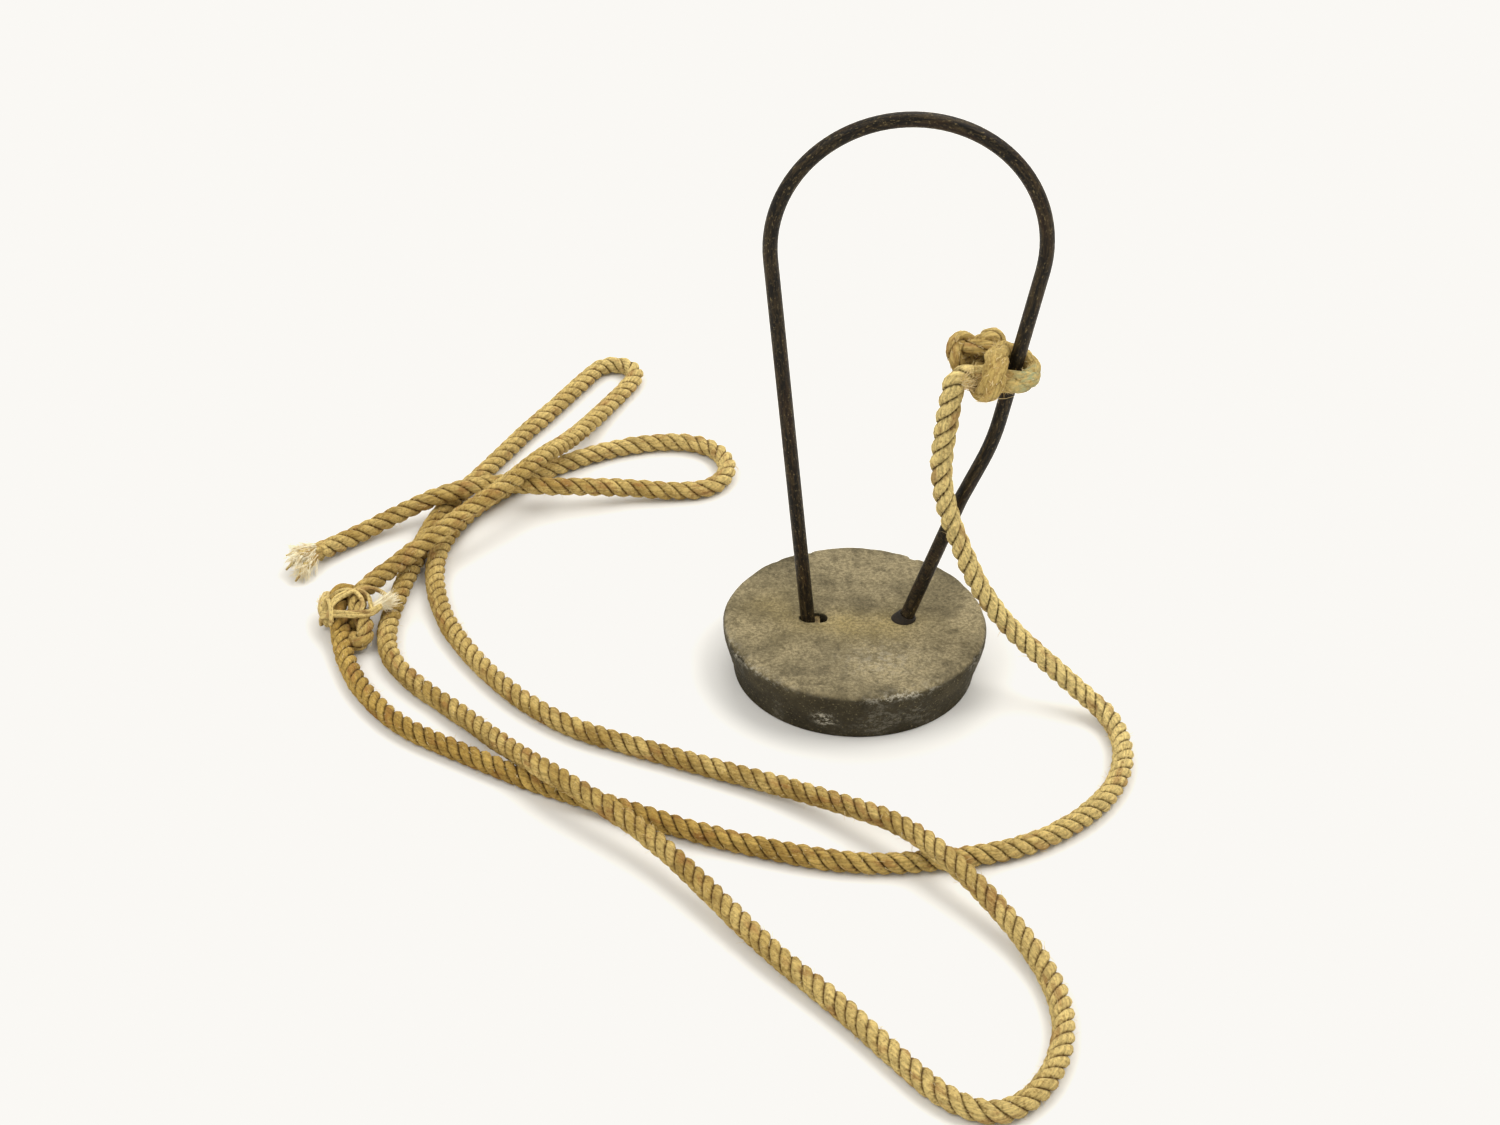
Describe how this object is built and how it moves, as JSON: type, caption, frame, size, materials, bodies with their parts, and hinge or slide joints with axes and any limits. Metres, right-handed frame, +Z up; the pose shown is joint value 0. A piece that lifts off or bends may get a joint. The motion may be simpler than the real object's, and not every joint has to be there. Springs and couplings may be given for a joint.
{
  "type": "retrieving magnet with rope",
  "caption": "Round cast pot magnet with a tall bent wire bail and a hitched length of laid rope, joined by a lashed knot.",
  "frame": {"origin": "centre of the magnet's working face, on the surface that it rests on", "axes": "+Z up through the bail, +X from the bail's left leg to its right leg, +Y to the back"},
  "size_m": [0.2894, 0.413, 0.2022],
  "materials": {
    "shell_iron": "matt weathered casting with pale scuffs",
    "pole_steel": "ground, slightly rusted",
    "ferrite": "dark fired magnet",
    "resin": "aged potting resin",
    "bail_steel": "dark oxidised rod with rust mottling",
    "braze_metal": "dull brazing metal",
    "rusted_braze": "rust",
    "rope_fibre": "three-strand natural fibre rope",
    "lashing_yarn": "straw-coloured yarn",
    "frayed_fibre": "loose pale fibres"
  },
  "bodies": {
    "magnet": {"magnet_shell": "shell_iron", "pole_core": "pole_steel", "ring_magnet": "ferrite", "inner_resin": "resin", "outer_resin": "resin", "bail": "bail_steel", "left_braze": "braze_metal", "right_collar": "rusted_braze", "rope_short": "rope_fibre", "rope_long": "rope_fibre", "join_bight_short": "rope_fibre", "join_bight_long": "rope_fibre", "join_lashing": "lashing_yarn", "join_fray_left": "frayed_fibre", "join_fray_right": "frayed_fibre", "long_end_fray": "frayed_fibre"},
    "hitch": {"hitch_wrap": "rope_fibre", "hitch_riding_turn": "rope_fibre", "stopper_knot": "rope_fibre", "rope_fall": "rope_fibre"}
  },
  "joints": [
    {"name": "hitch_slide", "type": "slide", "parent": "magnet", "child": "hitch", "axis": [0.1843, 0, 0.9829], "range_m": [0, 0.015]}
  ]
}
